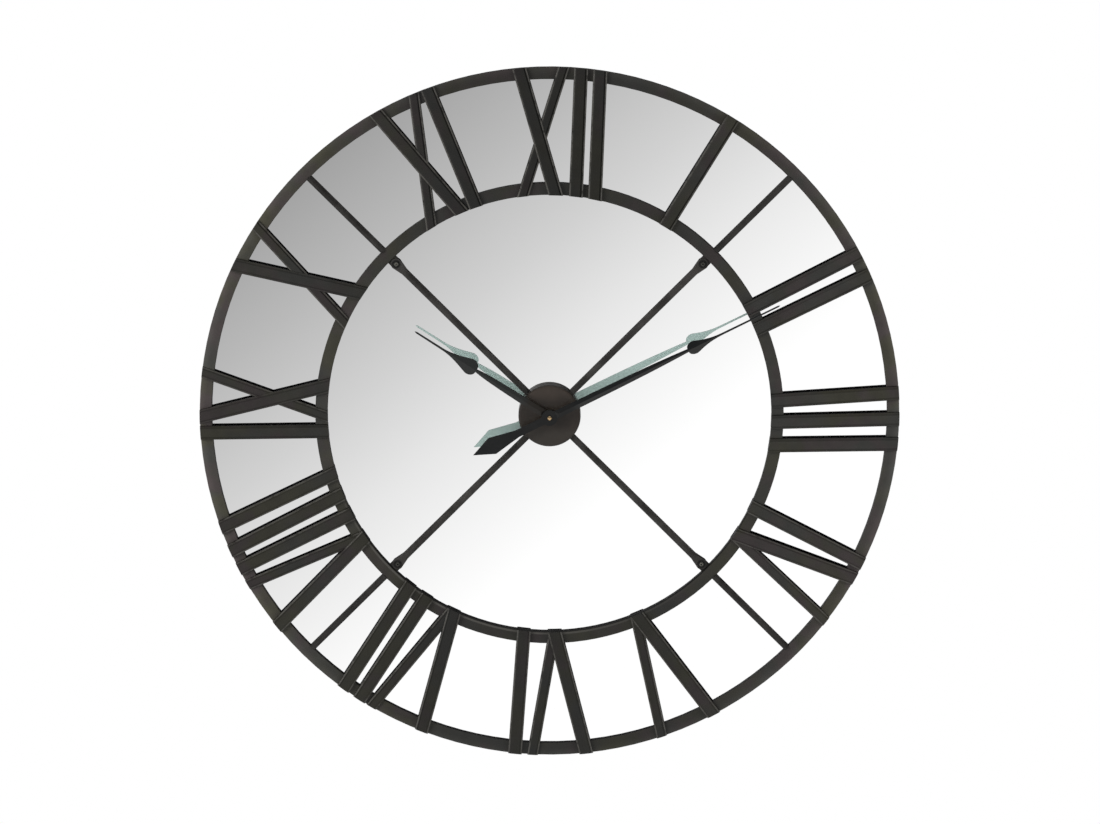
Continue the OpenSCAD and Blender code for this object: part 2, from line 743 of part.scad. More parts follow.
// Spoke that widens into a flattened eye at its outer end
module spoke(q) {
    color(iron) upright() to_clock(spoke_angles[q - 1]) difference() {
        union() {
            translate([0, 0, spoke_z]) spoke_bar();
            intersection() {
                hull() {
                    translate([0, 0, spoke_z])
                        radial_rod(spoke_end_d / 2 - slice, neck_from - bite - slice, neck_from - bite,
                            $fn = 32);
                    translate([0, eye_r, 0])
                        disc(eye_w / 2 - slice, eye_bottom, eye_top, $fn = 32);
                }
                flattened_end();
            }
            translate([0, eye_r, 0]) disc(eye_w / 2, eye_bottom, eye_top);
        }
        translate([0, eye_r, 0])
            disc(eye_screw_d / 2 + 4 * seat_play, eye_bottom - bite, eye_top + bite);
    }
}

// Slotted round-head screws that clamp the eyes to the lugs
module spoke_screws() {
    color(iron) upright() for (a = spoke_angles) translate(clock(eye_r, a)) difference() {
        union() {
            disc(eye_screw_d / 2, lug_bottom, eye_top + eye_head_h / 2);
            disc(eye_head_r, eye_top, eye_top + eye_head_h);
        }
        block([-2 * eye_head_r, -eye_slot_w / 2, eye_top + eye_head_h / 2],
            [2 * eye_head_r, eye_slot_w / 2, eye_top + eye_head_h + bite]);
    }
}

// Cup with a rounded front edge, open towards the mirror
module hub_cup() {
    color(hub_iron) upright() difference() {
        rotate_extrude() union() {
            translate([hub_in, hub_back]) square([hub_wall, hub_front - hub_edge_r - hub_back]);
            translate([0, case_front]) square([hub_r - hub_edge_r, hub_wall]);
            translate([hub_r - hub_edge_r, hub_front - hub_edge_r]) intersection() {
                difference() {
                    circle(hub_edge_r);
                    circle(hub_edge_r - hub_wall);
                }
                square(hub_edge_r);
            }
        }
        disc(thread_d / 2 + 2 * seat_play, case_front - bite, hub_front + bite);
        for (a = spoke_angles) to_clock(a) translate([0, 0, spoke_z])
            radial_rod(spoke_d / 2 + 2 * seat_play, hub_in - hub_wall, hub_r + bite);
    }
}

// Open case: a wheel room above and a battery bay below, with sockets for the arbors
module movement_case() {
    inner_w = case_w / 2 - case_wall;
    inner_r = case_corner_r - case_wall;
    room_bottom = bay_top + case_wall;
    color(case_plastic) upright() difference() {
        union() {
            difference() {
                rounded_block([-case_w / 2, -case_half_h, case_back], [case_w / 2, case_half_h, case_front],
                    case_corner_r);
                rounded_block([-inner_w, room_bottom, case_back - bite],
                    [inner_w, case_half_h - case_wall, room_front], inner_r);
                block([-inner_w, bay_bottom, case_back - bite], [inner_w, bay_top, room_front]);
                // The cover lies on the walls of the wheel room
                block([-case_w, bay_top + case_wall / 2, case_back - bite],
                    [case_w, case_half_h + bite, cover_front]);
            }
            translate(motion_at) disc(stud_d / 2, motion_wheel_back, room_front + bite);
            translate(output_at)
                disc(stud_d / 2 + boss_wall, room_front - pivot_l - end_play, room_front + bite);
            translate(set_at)
                disc(stud_d / 2 + boss_wall, motion_wheel_front + wheel_gap, room_front + bite);
        }
        disc(thread_d / 2 + seat_play, room_front - bite, case_front + bite);
        translate(output_at)
            disc(stud_d / 2 + running_play, room_front - pivot_l - 2 * bite, room_front);
        translate(set_at) disc(stud_d / 2 + running_play, motion_wheel_front, room_front);
    }
}

// Rear cover of the wheel room, with the rear bearings of the minute arbor and the setting shaft
module movement_cover() {
    boss_top = center_wheel_back - wheel_gap;
    color(case_plastic) upright() difference() {
        union() {
            intersection() {
                rounded_block([-case_w / 2, -case_half_h, case_back], [case_w / 2, case_half_h, cover_front],
                    case_corner_r);
                block([-case_w, bay_top + case_wall / 2, case_back], [case_w, case_half_h, cover_front]);
            }
            disc(arbor_pivot_d / 2 + boss_wall, case_back, boss_top);
        }
        disc(arbor_pivot_d / 2 + running_play, cover_front, boss_top + bite);
        translate(set_at) disc(set_shaft_d / 2 + running_play, case_back - bite, cover_front + bite);
    }
}

// Cell with its raised positive end, lying along x in the bay
module battery() {
    color(cell_green) upright() translate([battery_l / 2, battery_y, battery_z]) rotate([0, -90, 0]) union() {
        cylinder(r = battery_d / 2, h = battery_l - nub_l);
        cylinder(r = nub_d / 2, h = battery_l);
    }
}

// Leaf contact: a sheet on the end wall of the bay with a folded spring that meets the cell
module leaf_contact(side) {
    half = contact_w / 2;
    color(zinc) upright() translate([side * (case_w / 2 - case_wall), battery_y + half, battery_z])
        rotate([90, 0, 0]) linear_extrude(2 * half) scale([-side, 1]) polygon([
            [0, -half], [contact_t, -half], [contact_room, 0], [contact_room - contact_t, contact_t],
            [contact_t, -half + 3 * contact_t], [contact_t, half], [0, half]
        ]);
}

module contact_plus() {
    leaf_contact(-1);
}

module contact_minus() {
    leaf_contact(1);
}

// Board with a sealed chip and a quartz can
module circuit_board() {
    pcb_top = cover_front + pcb_t;
    color(pcb_green) upright() union() {
        block([pcb_from.x, pcb_from.y, cover_front], [pcb_to.x, pcb_to.y, pcb_top]);
        translate((pcb_from + pcb_to) / 2) disc(chip_d / 2, pcb_top - bite, pcb_top + chip_h);
        translate([can_at.x, can_at.y, pcb_top + can_d / 4]) rotate([0, 90, 0])
            cylinder(r = can_d / 2, h = can_l);
    }
}

// U-shaped yoke: the coil is on its lower bar, and its legs enter the motor block
module stator_yoke() {
    color(zinc) upright() union() {
        block([motor_from.x, coil_y - yoke_half, coil_z - yoke_t / 2],
            [motor_to.x, coil_y + yoke_half, coil_z + yoke_t / 2]);
        for (x = [motor_from.x, motor_to.x - 2 * yoke_half])
            block([x, coil_y, coil_z - yoke_t / 2], [x + 2 * yoke_half, motor_y, coil_z + yoke_t / 2]);
    }
}

// Winding between two flanges, with a rectangular passage for the yoke
module motor_coil() {
    color(copper) upright() difference() {
        union() {
            translate([coil_from, coil_y, coil_z]) rotate([0, 90, 0])
                cylinder(r = coil_r - flange_step, h = coil_to - coil_from);
            for (x = [coil_from, coil_to - coil_flange_t])
                block([x, coil_y - coil_r, cover_front],
                    [x + coil_flange_t, coil_y + coil_r, coil_z + coil_r]);
        }
        block([coil_from - bite, coil_y - yoke_half - seat_play, coil_z - yoke_t / 2 - seat_play],
            [coil_to + bite, coil_y + yoke_half + seat_play, coil_z + yoke_t / 2 + seat_play]);
    }
}

// Sealed block of the rotor and its reducing wheels
module motor_block() {
    color(case_plastic) upright() difference() {
        rounded_block([motor_from.x, motor_from.y, cover_front], [motor_to.x, motor_to.y, motor_front],
            motor_corner_r);
        translate(output_at)
            disc(stud_d / 2 + running_play, motor_front - 3 * pivot_l, motor_front + bite);
    }
}

module output_pinion() {
    color(wheel_plastic) upright() translate(output_at) union() {
        disc(stud_d / 2, motor_front - 3 * pivot_l + end_play, room_front - end_play);
        gear(output_teeth, train_module, center_wheel_back - pinion_extra, center_wheel_front + pinion_extra,
            output_phase);
    }
}

module center_wheel() {
    color(wheel_plastic) upright() difference() {
        gear(center_teeth, train_module, center_wheel_back, center_wheel_front, output_dir);
        disc(arbor_d / 2 + seat_play, center_wheel_back - bite, center_wheel_front + bite);
    }
}

// Steel arbor with the cannon pinion, a seat for the center wheel and a rear pivot
module minute_arbor() {
    color(zinc) upright() union() {
        disc(arbor_pivot_d / 2, cover_front + end_play, center_wheel_back);
        disc(arbor_d / 2, center_wheel_back - wheel_gap / 2, arbor_tip);
        gear(cannon_teeth, motion_module, motion_wheel_back - pinion_extra, motion_wheel_front + pinion_extra,
            motion_dir);
        disc(arbor_d / 2 + arbor_step, center_wheel_front, motion_wheel_back);
    }
}

// Wheel and pinion on one stud between the arbor and the hour wheel
module motion_wheel() {
    color(wheel_plastic) upright() translate(motion_at) difference() {
        union() {
            gear(motion_teeth, motion_module, motion_wheel_back, motion_wheel_front, motion_phase);
            gear(motion_pinion_teeth, motion_module, motion_wheel_front - bite,
                hour_wheel_front + pinion_extra, motion_dir + 180);
        }
        disc(stud_d / 2 + running_play, motion_wheel_back - bite, room_front);
    }
}

module hour_wheel() {
    color(brass) upright() difference() {
        union() {
            gear(hour_teeth, motion_module, hour_wheel_back, hour_wheel_front, hour_phase);
            disc(hour_tube_d / 2, hour_wheel_back, hour_hand_front);
        }
        disc(arbor_d / 2 + running_play, hour_wheel_back - bite, hour_hand_front + bite);
    }
}

// Setting shaft with its gear and a finger knob behind the cover
module set_knob() {
    color(wheel_plastic) upright() translate(set_at) union() {
        difference() {
            disc(knob_d / 2, knob_back, knob_top);
            for (i = [1:grip_count]) translate(clock(knob_d / 2, i * 360 / grip_count))
                disc(grip_r, knob_back - bite, knob_top + bite);
        }
        disc(set_shaft_d / 2, knob_top - bite, motion_wheel_back);
        gear(set_teeth, motion_module, motion_wheel_back - pinion_extra, motion_wheel_front + pinion_extra,
            set_phase);
        disc(stud_d / 2, motion_wheel_front, room_front - end_play);
    }
}

module bushing() {
    color(brass) upright() difference() {
        union() {
            disc(flange_d / 2, room_front - flange_t, room_front);
            disc(thread_d / 2, room_front - flange_t, bushing_top);
        }
        disc(hour_tube_d / 2 + running_play, room_front - flange_t - bite, bushing_top + bite);
    }
}

module washer() {
    color(zinc) upright() tube(washer_d / 2, thread_d / 2 + 2 * seat_play, hub_front, washer_top);
}

module hex_nut() {
    color(brass) upright() difference() {
        translate([0, 0, washer_top]) cylinder(d = nut_af / cos(30), h = nut_t, $fn = 6);
        disc(thread_d / 2 + seat_play, washer_top - bite, nut_top + bite);
    }
}

// Space below two planes that meet over the y axis and a sloped end, all lower by the given depth
module under_ridge(shank_w, depth, reach) {
    tilt = atan(2 * ridge_h / shank_w);
    from = [-reach, -reach, -reach];
    to = [reach, reach, 0];
    translate([0, 0, -depth]) intersection() {
        translate([0, 0, ridge_h]) rotate([0, tilt, 0]) block(from, to);
        translate([0, 0, ridge_h]) rotate([0, -tilt, 0]) block(from, to);
        translate([0, blade_root, 0]) rotate([atan(ridge_h / ridge_rise), 0, 0]) block(from, to);
    }
}

// Sheet blade with a pressed ridge, its root at the height of the boss
module ridged_blade(blade) {
    side = blade_side(blade);
    deep = blade[4];
    intersection() {
        translate([0, 0, -deep]) linear_extrude(2 * deep) polygon(concat(side, mirrored(side)));
        difference() {
            under_ridge(blade[0], 0, sheet_reach);
            under_ridge(blade[0], hand_t, sheet_reach + bite);
        }
    }
}

// Hand with a round boss and a sleeve behind it; children are flat shapes that join the boss
module hand(angle, blade, shaft_d, back) {
    sleeve_back = back - sleeve_l;
    color(hand_black) upright() to_clock(angle) difference() {
        union() {
            translate([0, 0, back + hand_t]) ridged_blade(blade);
            translate([0, 0, back]) linear_extrude(hand_t) union() {
                circle(boss_d / 2);
                children();
            }
            disc(shaft_d / 2 + sleeve_wall, sleeve_back, back + hand_t / 2);
        }
        disc(shaft_d / 2 + seat_play, sleeve_back - bite, back + hand_t + bite);
    }
}

module hour_hand() {
    hand(hour_angle, hour_blade, hour_tube_d, hour_hand_back);
}

module minute_hand() {
    hand(minute_angle, minute_blade, arbor_d, minute_hand_back)
        polygon(concat(minute_tail, mirrored(minute_tail)));
}

// Domed nut on the tip of the minute arbor
module cap_nut() {
    dome_r = (pow(cap_d / 2, 2) + pow(cap_dome_h, 2)) / (2 * cap_dome_h);
    color(brass) upright() difference() {
        intersection() {
            disc(cap_d / 2, minute_hand_front, cap_top);
            translate([0, 0, cap_top - dome_r]) sphere(dome_r);
        }
        disc(arbor_d / 2 + seat_play, minute_hand_front - bite, arbor_tip + end_play);
    }
}

back_board();
mirror_glass();
rim_band();
board_screws();
hanger_plate();
hanger_screws();
outer_ring();
inner_ring();
for (q = quarters) ring_rod(q);
for (h = numeral_hours) numeral(h);
for (h = leg_hours) thin_leg(h);
for (q = quarters) spoke(q);
spoke_screws();
hub_cup();
movement_case();
movement_cover();
battery();
contact_plus();
contact_minus();
circuit_board();
stator_yoke();
motor_coil();
motor_block();
output_pinion();
center_wheel();
minute_arbor();
motion_wheel();
hour_wheel();
set_knob();
bushing();
washer();
hex_nut();
hour_hand();
minute_hand();
cap_nut();
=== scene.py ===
import math

import bmesh
import bpy
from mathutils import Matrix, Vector


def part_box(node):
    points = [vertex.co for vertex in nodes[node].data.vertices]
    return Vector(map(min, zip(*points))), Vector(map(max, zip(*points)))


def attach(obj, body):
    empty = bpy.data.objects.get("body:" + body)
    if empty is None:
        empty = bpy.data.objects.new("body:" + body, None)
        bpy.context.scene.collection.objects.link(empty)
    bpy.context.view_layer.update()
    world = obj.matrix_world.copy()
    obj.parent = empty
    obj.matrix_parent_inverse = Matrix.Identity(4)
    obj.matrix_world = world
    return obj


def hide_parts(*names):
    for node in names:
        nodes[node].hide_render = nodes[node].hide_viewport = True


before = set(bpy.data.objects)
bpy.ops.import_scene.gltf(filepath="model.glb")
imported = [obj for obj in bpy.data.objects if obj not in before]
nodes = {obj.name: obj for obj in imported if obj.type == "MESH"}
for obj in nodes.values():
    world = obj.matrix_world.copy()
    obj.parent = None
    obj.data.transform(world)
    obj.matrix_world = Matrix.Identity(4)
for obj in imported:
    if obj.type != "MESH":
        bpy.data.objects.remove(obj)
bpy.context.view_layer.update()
scene = bpy.context.scene
scene.view_settings.view_transform = "Standard"
print("frame:", len(nodes), "nodes")

# Places that finishes and small pieces share, in metres from the axis of the hands
ringWidth = 0.016  # of the bar of both rings
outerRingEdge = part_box("outer_ring")[1].x
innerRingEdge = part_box("inner_ring")[1].x
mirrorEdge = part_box("mirror_glass")[1].x
eyeHead = 0.004  # head radius of the frame's eye screws
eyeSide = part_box("spoke_screws")[1].x - eyeHead  # across, and also up, to an eye screw


class Wire:
    # a socket in a node tree; sums and products of wires add Math nodes
    def __init__(self, tree, socket=None):
        self.tree, self.socket = tree, socket

    def add(self, kind, settings=None, sockets=None, out=0):
        node = self.tree.nodes.new(kind)
        for key, value in (settings or {}).items():
            if key == "stops":
                stops = node.color_ramp.elements
                while len(stops) < len(value):
                    stops.new(0.5)
                for stop, (place, colour) in zip(stops, value):
                    stop.position, stop.color = place, (*colour, 1)
            elif key == "cases":
                while len(node.index_switch_items) < value:
                    node.index_switch_items.new()
            else:
                setattr(node, key, value)
        for key, value in (sockets or {}).items():
            self.feed(node.inputs[key], value)
        return Wire(self.tree, node.outputs[out])

    def feed(self, target, value):
        # links a wire to the socket, or sets it to a plain value
        if isinstance(value, Wire):
            self.tree.links.new(value.socket, target)
        elif target.type == "RGBA":
            target.default_value = (*value, 1)
        else:
            target.default_value = value

    def math(self, operation, a, b=0.0):
        return self.add("ShaderNodeMath", {"operation": operation}, {0: a, 1: b})

    def __add__(self, other):
        return self.math("ADD", self, other)

    def __radd__(self, other):
        return self.math("ADD", other, self)

    def __sub__(self, other):
        return self.math("SUBTRACT", self, other)

    def __rsub__(self, other):
        return self.math("SUBTRACT", other, self)

    def __mul__(self, other):
        return self.math("MULTIPLY", self, other)

    def __rmul__(self, other):
        return self.math("MULTIPLY", other, self)

    def __truediv__(self, other):
        return self.math("DIVIDE", self, other)

    def __neg__(self):
        return self.math("MULTIPLY", self, -1.0)

    def __abs__(self):
        return self.math("ABSOLUTE", self)

    def split(self):
        # the wire's x, y and z
        node = self.add("ShaderNodeSeparateXYZ", {}, {0: self}).socket.node
        return [Wire(self.tree, socket) for socket in node.outputs]

    def far(self, a, b):
        # distance of the place (a, b) from (0, 0)
        return self.math("SQRT", a * a + b * b)

    def step(self, low, high):
        # 0 below low, 1 above high, smooth between, and the other way round where low is the greater
        return self.add("ShaderNodeMapRange", {"interpolation_type": "SMOOTHSTEP"},
                        {0: self, 1: low, 2: high})

    def mix(self, a, b):
        # colour a where the wire is 0, colour b where it is 1; 6 and 7 are the node's colour sockets
        return self.add("ShaderNodeMix", {"data_type": "RGBA"}, {0: self, 6: a, 7: b}, 2)

    def tint(self, colour):
        # the colour times the wire
        return self.add("ShaderNodeMix", {"data_type": "RGBA", "blend_type": "MULTIPLY"},
                        {0: 1.0, 6: colour, 7: self}, 2)

    def noise(self, scale, detail=4.0, rough=0.55, stretch=None):
        place = self
        if stretch:
            place = self.add("ShaderNodeMapping", {}, {0: self, 3: stretch})
        return self.add("ShaderNodeTexNoise", {},
                        {"Vector": place, "Scale": scale, "Detail": detail, "Roughness": rough})

    def rings(self, scale, detail):
        # noise along the wire alone, as a lathe tool leaves it
        return self.add("ShaderNodeTexNoise", {"noise_dimensions": "1D"},
                        {"W": self, "Scale": scale, "Detail": detail})

    def cells(self, scale, feature="F1", out=0):
        return self.add("ShaderNodeTexVoronoi", {"feature": feature}, {"Vector": self, "Scale": scale}, out)

    def bump(self, strength, distance):
        # the wire is the height
        return self.add("ShaderNodeBump", {}, {"Strength": strength, "Distance": distance, "Height": self})


class Finish:
    # one procedural material: object coordinates, object normals and a Principled shader
    def __init__(self, name):
        self.material = bpy.data.materials.new(name)
        self.material.use_nodes = True
        self.shader = self.material.node_tree.nodes["Principled BSDF"]
        self.wire = Wire(self.material.node_tree)
        self.place = self.wire.add("ShaderNodeTexCoord", {}, {}, "Object")

    def onDial(self):
        # places to the right and up
        x, _, z = self.place.split()
        return x, z

    def tips(self):
        # how far a face tips to the right, to the wall and up
        return self.wire.add("ShaderNodeTexCoord", {}, {}, "Normal").split()

    def front(self):
        # 1 on faces towards the viewer, -1 on faces towards the wall
        return -self.tips()[1]

    def fromAxis(self):
        # distance from the middle of the dial
        return self.wire.far(*self.onDial())

    def fromEye(self):
        # distance from the axis of the nearest eye screw
        return self.wire.far(*(abs(v) - eyeSide for v in self.onDial()))

    def put(self, **values):
        names = {"colour": "Base Color", "rough": "Roughness", "metal": "Metallic", "normal": "Normal",
                 "coat": "Coat Weight", "specular": "Specular IOR Level", "coatRough": "Coat Roughness"}
        for key, value in values.items():
            self.wire.feed(self.shader.inputs[names[key]], value)
        return self.material


# Dark iron: brown-black paint in olive and mauve clouds, painted brighter at the left and right as painted
# light from the side lamps, with a painted shade along each fold, a pale edge outside it that is part wear
# and part painted highlight, and painted shade on the walls
iron = {"olive": (0.0318, 0.0303, 0.0215), "mauve": (0.0338, 0.0280, 0.0275),
        "slate": (0.0290, 0.0288, 0.0265), "paintedShade": (0.0030, 0.0030, 0.0030), "fleck": (0.16, 0.155, 0.125),
        "wearAndHighlight": (0.086, 0.082, 0.073),
        "foldShade": 0.24, "foldShadeRight": 0.36, "foldShadeLeft": 0.32, "wearAndHighlightGain": 0.85, "highlightSpared": 0.7,
        "coat": 0.30, "coatRough": 0.17}
# places on the dial, in metres, from where a change starts to where it is full
ironZones = {"lower": (0.05, 0.20), "upper": (-0.10, 0.15), "lowLeft": (0.05, 0.15),
             "farRight": (0.18, 0.28), "bottom": (0.22, 0.36), "bottomSides": (0.14, 0.06),
             "paleSide": (-0.25, 0.05)}
# how squarely a face looks to the front where a change starts and where it is full
ironSlopes = {"foldShadeFrom": (0.9993, 0.9985), "foldShadeTo": (0.970, 0.978), "wearAndHighlightFrom": (0.975, 0.965),
              "wearAndHighlightTo": (0.80, 0.88), "wall": (0.55, 0.30), "flecks": (0.5, 0.7)}
# left and right: gain, and how far out it starts and is full
ironKinds = {
    "antiqueIron": {"level": 0.47, "left": (0.42, 0.02, 0.36), "right": (0.74, 0.0, 0.36), "bottom": 0.18,
                    "paintedShade": 0.95, "flecks": 0.10, "edges": False},
    "ringIron": {"level": 0.86, "left": (0.92, 0.10, 0.46), "right": (0.80, 0.10, 0.48), "bottom": 0.0,
                 "paintedShade": 0.90, "flecks": 0.30, "edges": True},
    "rimIron": {"level": 0.60, "left": (0.60, 0.10, 0.46), "right": (0.50, 0.10, 0.48), "bottom": 0.0,
                "paintedShade": 0.0, "flecks": 0.20, "edges": False}}
# the outer ring pales towards its rim, and the inner ring has a pale line, a painted highlight, and then a
# dark line, painted shade, at its inside
innerRingInside = innerRingEdge - ringWidth
ringEdges = {"rimGain": 0.50, "rim": (outerRingEdge - 0.011, outerRingEdge + 0.002), "pale": 0.8,
             "paleFrom": innerRingInside + 0.0046, "paleTo": innerRingInside + 0.0034, "dark": 0.75,
             "darkFrom": innerRingInside + 0.0018, "darkTo": innerRingInside + 0.0010}


def makeIron(name):
    kind = ironKinds[name]
    f = Finish(name)
    x, z = f.onDial()
    r = f.fromAxis()
    lower, upper = (-z).step(*ironZones["lower"]), z.step(*ironZones["upper"])
    patches = f.place.noise(60, 4, 0.5)
    grain = f.place.noise(900, 2, 0.5)
    tone = f.place.noise(12, 3).step(0.36, 0.62).mix(iron["olive"], iron["slate"])
    tone = f.place.noise(26, 3).step(0.44, 0.68).mix(tone, iron["mauve"])
    leftGain, *leftSpan = kind["left"]
    rightGain, *rightSpan = kind["right"]
    # painted light: brighter at the left and right of the dial, as the side lamps light them; also brighter
    # towards the bottom
    level = kind["level"] + (-x).step(*leftSpan) * leftGain + x.step(*rightSpan) * rightGain
    bottom = (-z).step(*ironZones["bottom"]) * abs(x).step(*ironZones["bottomSides"])
    level = level + bottom * kind["bottom"]
    if kind["edges"]:
        level = level * (1 + r.step(*ringEdges["rim"]) * ringEdges["rimGain"])
    level = level * (0.72 + patches * 0.56)
    # painted shade along each fold, as the side lamps leave it: deep on right sides in the upper half and on
    # left sides at the lower left
    facing = f.front()
    right, _, up = f.tips()
    bearing = right / f.wire.math("SQRT", right * right + up * up + 0.0001)
    rightward, leftward = bearing.step(0.2, 0.9), (-bearing).step(0.2, 0.9)
    lowLeft = (-x).step(*ironZones["lowLeft"]) * lower
    depth = iron["foldShade"] + rightward * (upper * (iron["foldShadeRight"] + iron["foldShade"]) - iron["foldShade"])
    depth = depth + leftward * (lowLeft * iron["foldShadeLeft"] - iron["foldShade"])
    foldShade = facing.step(*ironSlopes["foldShadeFrom"]) * facing.step(*ironSlopes["foldShadeTo"]) * depth
    tone = (level * (1 - foldShade)).tint(tone)
    # edges that look sideways get a pale edge, part wear and part painted highlight where the side lamps
    # catch them, less so at the upper right
    lessHighlight = x.step(*ironZones["farRight"]) * upper * iron["highlightSpared"]
    sideways = abs(bearing).step(0.10, 0.50) * (1 - lessHighlight)
    wearAndHighlight = facing.step(*ironSlopes["wearAndHighlightFrom"]) * facing.step(*ironSlopes["wearAndHighlightTo"]) * sideways
    wearAndHighlight = wearAndHighlight * f.place.noise(90, 4, 0.6).step(0.30, 0.55)
    tone = (wearAndHighlight * iron["wearAndHighlightGain"]).mix(tone, iron["wearAndHighlight"])
    if kind["edges"]:
        # painted highlight and painted shade: a pale and a dark line along the inner ring's inside, in the
        # lower half
        pale = r.step(ringEdges["paleFrom"], ringEdges["paleTo"])
        pale = pale * r.step(ringEdges["darkTo"], ringEdges["darkFrom"])
        pale = pale * lower * (-x).step(*ironZones["paleSide"])
        dark = r.step(ringEdges["darkFrom"], ringEdges["darkTo"]) * lower
        tone = (pale * ringEdges["pale"]).mix(tone, iron["wearAndHighlight"])
        tone = (dark * ringEdges["dark"]).mix(tone, iron["paintedShade"])
    # painted shade: the side walls of the bars and rings are painted dark
    wall = facing.step(*ironSlopes["wall"]) * kind["paintedShade"]
    flecks = f.place.noise(620, 3, 0.6).step(0.68, 0.76) * kind["flecks"]
    flecks = flecks * facing.step(*ironSlopes["flecks"])
    tone = flecks.mix(wall.mix(tone, iron["paintedShade"]), iron["fleck"])
    height = patches * 0.7 + grain * 0.12
    return f.put(colour=tone, rough=0.46 + patches * 0.12, normal=height.bump(0.10, 0.0004), specular=0.1,
                 coat=(iron["coat"] - foldShade * 0.4 + wearAndHighlight * 0.2) * (1 - wall), coatRough=iron["coatRough"])


# Spokes, rods and eyes: drawn rod, brown-black with a soft sheen, faint hammer marks and painted shade
# around an eye screw
hammered = {"low": (0.0250, 0.0232, 0.0214), "high": (0.0570, 0.0536, 0.0500), "dents": 150,
            "eyeShade": 0.8, "eyeShadeSpan": (0.0070, 0.0046), "coat": 0.15, "coatRough": 0.30}
hammeredKinds = {"spokeIron": 1.0, "rodIron": 0.72}  # how bright each one is


def makeHammered(name):
    f = Finish(name)
    dents = f.place.cells(hammered["dents"], "SMOOTH_F1")
    drift = f.place.noise(30, 4)
    bright = drift.step(0.35, 0.70) * 0.75 + dents.step(0.5, 0.1) * 0.25
    height = dents * 0.9 + drift * 0.2
    low, high = (tuple(v * hammeredKinds[name] for v in hammered[end]) for end in ("low", "high"))
    # painted shade: dark around each eye screw's head
    eyeShade = f.fromEye().step(*hammered["eyeShadeSpan"]) * hammered["eyeShade"]
    tone = eyeShade.mix(bright.mix(low, high), iron["paintedShade"])
    return f.put(colour=tone, rough=0.46 + drift * 0.14, specular=0.2, normal=height.bump(0.03, 0.0006),
                 coat=hammered["coat"], coatRough=hammered["coatRough"])


# Eye screws: domes painted pale, part bare wear and part painted highlight, with painted shade dark at the
# rim and in the recess
eyeSteel = {"dome": (0.17, 0.165, 0.142), "rim": (0.012, 0.012, 0.011), "domeSpan": (0.0033, 0.0015),
            "recessSpan": (0.0006, 0.0011), "domePaleness": 1.0, "lessDomePaleness": 0.30}


def makeEyeSteel():
    f = Finish("eyeSteel")
    r = f.fromEye()
    wear = f.place.noise(500, 3, 0.6)
    x, z = f.onDial()
    # the screws at the upper left and lower right get the palest domes
    domePaleness = (x * z).step(0.001, -0.001) * (eyeSteel["domePaleness"] - eyeSteel["lessDomePaleness"]) + eyeSteel["lessDomePaleness"]
    dome = r.step(*eyeSteel["domeSpan"]) * r.step(*eyeSteel["recessSpan"]) * wear.step(0.25, 0.60) * domePaleness
    return f.put(colour=dome.mix(eyeSteel["rim"], eyeSteel["dome"]), rough=0.36 + wear * 0.2,
                 normal=wear.bump(0.05, 0.0002), specular=0.3)


# Hub cup: brown bronze over spun sheet, painted shade dark across the middle around the boss, paler to the
# top and, in olive, the bottom, and painted shade on its side wall
hub = {"dark": (0.0225, 0.0173, 0.0138), "warm": (0.0515, 0.0392, 0.0316),
       "olive": (0.0417, 0.0360, 0.0300), "wall": (0.0190, 0.0160, 0.0138), "darkRise": 0.003,
       "darkSpan": (0.014, 0.029), "oliveSpan": (0.004, 0.024), "coat": 0.2, "coatRough": 0.25}


def makeHub():
    f = Finish("hubBronze")
    mottle = f.place.noise(60, 4, 0.55)
    spun = f.fromAxis().rings(2600, 3)
    _, z = f.onDial()
    # painted shade: a dark band across the middle, around the boss
    away = abs(z - hub["darkRise"]).step(*hub["darkSpan"])
    pale = (-z).step(*hub["oliveSpan"]).mix(hub["warm"], hub["olive"])
    tone = (away * 0.60 + mottle.step(0.35, 0.7) * 0.25 + spun * 0.10).mix(hub["dark"], pale)
    # painted shade: the hub's side wall painted dark
    tone = (f.front().step(0.97, 0.6) * 0.8).mix(tone, hub["wall"])
    height = spun * 0.6 + mottle * 0.4
    return f.put(colour=tone, rough=0.42 + mottle * 0.14, specular=0.3, normal=height.bump(0.12, 0.0003),
                 coat=hub["coat"], coatRough=hub["coatRough"])


# Hands: stove enamel in front, with random dust, lower facets painted paler as a painted reflection, painted
# shade in brown over the hub, the hour hand painted greyer as a painted reflection, and bare greenish
# aluminium sheet behind
hands = {"dust": 0.10, "dustAndSheen": (0.036, 0.036, 0.035), "lowerTip": (-0.08, -0.17),
         "shade": (0.0215, 0.0182, 0.0152), "shadeSpan": (0.046, 0.030),
         "bareDark": (0.44, 0.57, 0.535), "bare": (0.50, 0.65, 0.61), "coat": 0.08, "coatRough": 0.2}
# the hour hand's enamel is painted greyer as a painted reflection; lower is how much the lower facets take
# the painted reflection, shade how much painted shade over the hub
handKinds = {"minuteEnamel": {"enamel": (0.0036, 0.0044, 0.0050), "lower": 0.8, "shade": 0.15},
             "hourEnamel": {"enamel": (0.0230, 0.0248, 0.0240), "lower": 0.2, "shade": 0.9}}


